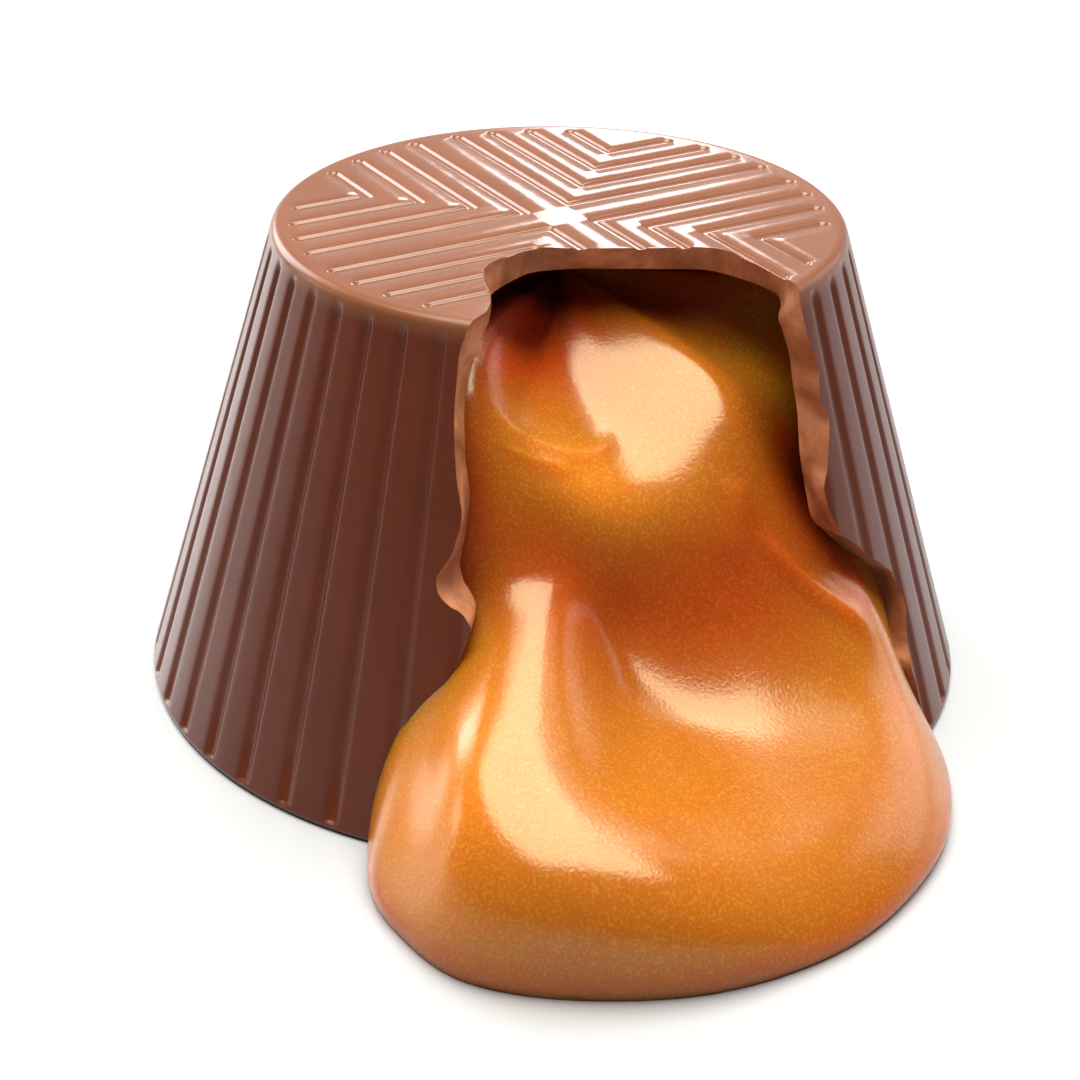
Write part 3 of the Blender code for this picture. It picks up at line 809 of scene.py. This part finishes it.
def share_between(nodes, links, value, none, full):
    """0 where a value is at one bound or beyond it, and 1 at the other."""
    node = nodes.new("ShaderNodeMapRange")
    node.inputs["From Min"].default_value = none
    node.inputs["From Max"].default_value = full
    links.new(value, node.inputs["Value"])
    return node.outputs["Result"]


def spread(nodes, links, share, low, high):
    """A plain value between two, by a share."""
    node = nodes.new("ShaderNodeMapRange")
    node.inputs["To Min"].default_value = low
    node.inputs["To Max"].default_value = high
    links.new(share, node.inputs["Value"])
    return node.outputs["Result"]


def height_share(nodes, links, where, low, high):
    """0 below one height and 1 above another."""
    split = nodes.new("ShaderNodeSeparateXYZ")
    links.new(where, split.inputs["Vector"])
    return share_between(nodes, links, split.outputs["Z"], low, high)


def blend(nodes, links, share, low, high):
    """A colour between two, by a share. Either is a colour or what another node gives."""
    node = nodes.new("ShaderNodeMix")
    node.data_type = "RGBA"
    links.new(share, node.inputs["Factor"])
    for socket, value in ((node.inputs["A"], low), (node.inputs["B"], high)):
        if isinstance(value, tuple):
            socket.default_value = (*value, 1.0)
        else:
            links.new(value, socket)
    return node.outputs["Result"]


def tinted(nodes, links, first, second):
    """One colour multiplied by another."""
    node = nodes.new("ShaderNodeMix")
    node.data_type = "RGBA"
    node.blend_type = "MULTIPLY"
    node.inputs["Factor"].default_value = 1.0
    links.new(first, node.inputs["A"])
    links.new(second, node.inputs["B"])
    return node.outputs["Result"]


def on_the_roof(nodes, links, where):
    """1 on the flat of the roof and 0 beyond its rim."""
    flat = nodes.new("ShaderNodeVectorMath")
    flat.operation = "MULTIPLY"
    flat.inputs[1].default_value = (1.0, 1.0, 0.0)
    links.new(where, flat.inputs[0])
    reach = nodes.new("ShaderNodeVectorMath")
    reach.operation = "LENGTH"
    links.new(flat.outputs["Vector"], reach.inputs[0])
    inside = share_between(nodes, links, reach.outputs["Value"], *ROOF_GLOSS_RADII)
    both = nodes.new("ShaderNodeMath")
    both.operation = "MULTIPLY"
    links.new(inside, both.inputs[0])
    links.new(height_share(nodes, links, where, *ROOF_GLOSS_HEIGHTS), both.inputs[1])
    return both.outputs["Value"]


def moulded_chocolate():
    """Milk chocolate: the roof is glossy and paler as painted light from above, the side is satin and darker
    as painted shade.
    """
    material, nodes, links, shader = new_material("moulded_milk_chocolate")
    where = place_of(nodes)
    tone = cloud(nodes, links, where, 2.5 * MM, detail=4.0)
    side = ramp(nodes, links, tone, *PAINTED_SHADED_SIDE_TONES)
    roof = ramp(nodes, links, tone, *PAINTED_LIT_ROOF_TONES)
    # Painted light: the paler tones go on the roof, the darker ones on the side
    high = height_share(nodes, links, where, *PAINTED_LIT_ROOF_HEIGHTS)
    links.new(blend(nodes, links, high, side, roof), shader.inputs["Base Color"])
    top = on_the_roof(nodes, links, where)
    links.new(spread(nodes, links, top, *ROUGHNESS_SIDE_ROOF), shader.inputs["Roughness"])
    links.new(spread(nodes, links, top, *SPECULAR_SIDE_ROOF), shader.inputs["Specular IOR Level"])
    shader.inputs["Subsurface Weight"].default_value = 0.08
    shader.inputs["Subsurface Radius"].default_value = (1.0, 0.45, 0.3)
    shader.inputs["Subsurface Scale"].default_value = 0.4 * MM
    grain = cloud(nodes, links, where, 0.12 * MM, detail=2.0)
    fine = bump(nodes, links, shader, grain, strength=0.10, distance=0.01 * MM)
    waves = cloud(nodes, links, where, 1.1 * MM, detail=1.0)
    bump(nodes, links, fine, waves, strength=0.35, distance=0.03 * MM)
    return material


def broken_chocolate():
    """Matt broken chocolate: warm brown clouds with a few paler streaks."""
    material, nodes, links, shader = new_material("broken_milk_chocolate")
    where = place_of(nodes)
    haze = cloud(nodes, links, where, 1.6 * MM, detail=5.0, rough=0.58, distortion=0.4)
    colour = ramp(nodes, links, haze, *BROKEN_TONES)
    streak = cloud(nodes, links, where, 0.35 * MM, detail=6.0, rough=0.7, distortion=0.8)
    pale = ramp(nodes, links, streak, *BROKEN_STREAKS)
    links.new(tinted(nodes, links, colour, pale), shader.inputs["Base Color"])
    shader.inputs["Roughness"].default_value = 0.5
    crumb = cloud(nodes, links, where, 0.4 * MM, detail=5.0, rough=0.55, distortion=0.5)
    bump(nodes, links, shader, crumb, strength=0.35, distance=0.04 * MM)
    return material


def soft_caramel():
    """Dense caramel that light sinks into, golden to deep red and near black by its depth attribute of
    painted shade and painted light, with a fine grain.
    """
    material, nodes, links, shader = new_material("soft_caramel")
    where = place_of(nodes)
    # The depth attribute paints shade and light into the caramel's colour
    depth = nodes.new("ShaderNodeAttribute")
    depth.attribute_name = "depth"
    share = share_between(nodes, links, depth.outputs["Fac"], SHADE_AND_THICKNESS_LEAST, SHADE_AND_THICKNESS_MOST)
    body = ramp(nodes, links, share, *CARAMEL_BY_SHADE_AND_THICKNESS)
    # Painted shade along the table: darker, redder caramel and less shine in the lowest band
    low = height_share(nodes, links, where, 0.0, CARAMEL_LOW_SHADE_BAND)
    body = blend(nodes, links, low, CARAMEL_LOW_SHADE, body)
    clouds = ramp(nodes, links, cloud(nodes, links, where, 3.0 * MM), *CARAMEL_CLOUDS)
    grain = ramp(nodes, links, cloud(nodes, links, where, 0.09 * MM, detail=2.0), *CARAMEL_GRAIN)
    links.new(tinted(nodes, links, tinted(nodes, links, body, clouds), grain), shader.inputs["Base Color"])
    shader.inputs["Roughness"].default_value = 0.19
    links.new(spread(nodes, links, low, *SPECULAR_LOW_HIGH), shader.inputs["Specular IOR Level"])
    shader.inputs["Specular Tint"].default_value = (1.0, 0.97, 0.72, 1.0)
    shader.inputs["Subsurface Weight"].default_value = 1.0
    shader.inputs["Subsurface Radius"].default_value = (1.0, 0.25, 0.05)
    shader.inputs["Subsurface Scale"].default_value = 3.0 * MM
    ripple = cloud(nodes, links, where, 0.11 * MM, detail=2.0)
    bump(nodes, links, shader, ripple, strength=0.55, distance=0.016 * MM)
    return material


# Floor, lights and camera. A softbox is a name, an azimuth (0 behind, growing to the right), an elevation, a
# width and a height, all in degrees, then its brightness and its colour.
FLOOR_REACH = 3.0
AIM = Vector((3.0, -8.0, 6.0)) * MM
LIGHT_DISTANCE = 0.9
SOFTBOXES = (
    ("overhead", -22.0, 88.0, 54.0, 52.0, 9.8, (1.0, 0.97, 0.83)),
    ("back_soft", 22.0, 56.0, 50.0, 18.0, 2.0, (1.0, 0.95, 0.93)),
    ("back_strip", 1.6, 20.5, 4.5, 9.0, 8.0, (1.0, 1.0, 1.0)),
    ("left_rim", -40.0, 22.0, 26.0, 30.0, 8.5, (1.0, 0.98, 0.97)),
    ("left_flank", -72.0, 13.0, 13.0, 18.0, 4.0, (1.0, 0.96, 0.90)),
    ("lilac_rim", 55.0, 18.0, 34.0, 30.0, 2.0, (0.95, 0.88, 1.0)),
)
CAMERA_LENS = 83.15
CAMERA_SENSOR = 36.0
CAMERA_NEAREST = 5.0 * MM
CAMERA_PLACE = Vector((0.0, -76.31, 44.39)) * MM
CAMERA_TURNS = (62.075, -0.648, 0.709)


def make_floor():
    work = bmesh.new()
    bmesh.ops.create_grid(work, x_segments=1, y_segments=1, size=FLOOR_REACH)
    floor = finished("floor", work)
    material, nodes, links, shader = new_material("pale_floor")
    shader.inputs["Base Color"].default_value = FLOOR_COLOUR
    shader.inputs["Metallic"].default_value = 0.12
    shader.inputs["Roughness"].default_value = 0.32
    floor.data.materials.append(material)


def softbox(name, azimuth, elevation, width, height, brightness, colour):
    """A rectangular light of even brightness that faces the point aimed at."""
    turn, lift = math.radians(azimuth), math.radians(elevation)
    away = Vector((math.sin(turn) * math.cos(lift), math.cos(turn) * math.cos(lift), math.sin(lift)))
    light = bpy.data.lights.new(name, "AREA")
    light.shape = "RECTANGLE"
    sides = [2.0 * LIGHT_DISTANCE * math.tan(math.radians(side / 2.0)) for side in (width, height)]
    light.size, light.size_y = sides
    light.energy = brightness * math.pi * light.size * light.size_y
    light.color = colour
    lamp = bpy.data.objects.new(name, light)
    bpy.context.scene.collection.objects.link(lamp)
    lamp.location = AIM + away * LIGHT_DISTANCE
    lamp.rotation_euler = (-away).to_track_quat("-Z", "Y").to_euler()


def make_lights():
    for box in SOFTBOXES:
        softbox(*box)


def make_world():
    """A grey studio, brighter behind the object."""
    world = bpy.data.worlds.new("studio")
    bpy.context.scene.world = world
    world.use_nodes = True
    nodes, links = world.node_tree.nodes, world.node_tree.links
    split = nodes.new("ShaderNodeSeparateXYZ")
    links.new(nodes.new("ShaderNodeTexCoord").outputs["Generated"], split.inputs["Vector"])
    shade = ramp(nodes, links, split.outputs["Y"], *SKY_TONES)
    links.new(shade, nodes["Background"].inputs["Color"])
    nodes["Background"].inputs["Strength"].default_value = 1.0


def make_camera():
    """The photograph's own camera: fitted to the rims of the roof and the sole."""
    camera = bpy.data.cameras.new("camera")
    camera.lens = CAMERA_LENS
    camera.sensor_width = CAMERA_SENSOR
    camera.clip_start = CAMERA_NEAREST
    stand = bpy.data.objects.new("camera", camera)
    bpy.context.scene.collection.objects.link(stand)
    stand.location = CAMERA_PLACE
    stand.rotation_euler = [math.radians(turn) for turn in CAMERA_TURNS]
    bpy.context.scene.camera = stand


def main():
    make_camera()
    make_shell()
    make_caramel()
    make_floor()
    make_lights()
    make_world()
    bpy.context.scene.view_settings.view_transform = "Standard"


main()
